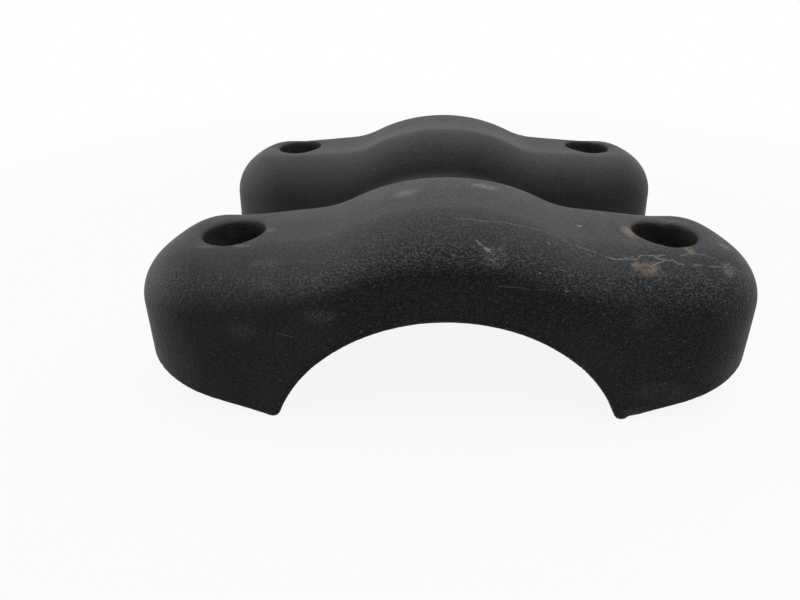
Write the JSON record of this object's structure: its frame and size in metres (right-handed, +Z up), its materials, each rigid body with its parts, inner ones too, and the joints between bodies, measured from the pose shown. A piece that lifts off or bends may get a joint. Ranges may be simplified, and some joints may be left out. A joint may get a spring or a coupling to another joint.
{
  "type": "u-bolt plate",
  "caption": "Cast saddle plate with a pair of arched ridges over a round axle seat and a bolt hole in each ear, clamped to an axle by u-bolts.",
  "frame": {"origin": "centre of the casting in plan, at the level of its feet", "axes": "+X across the axle, +Y along the axle, +Z up through the bolt holes"},
  "size_m": [0.2514, 0.1914, 0.0835],
  "materials": {
    "black_casting": "satin black paint over a fine sand-cast skin, scuffed, with rust at the bolt holes"
  },
  "bodies": {
    "root": {"u_bolt_plate": "black_casting"}
  },
  "joints": []
}
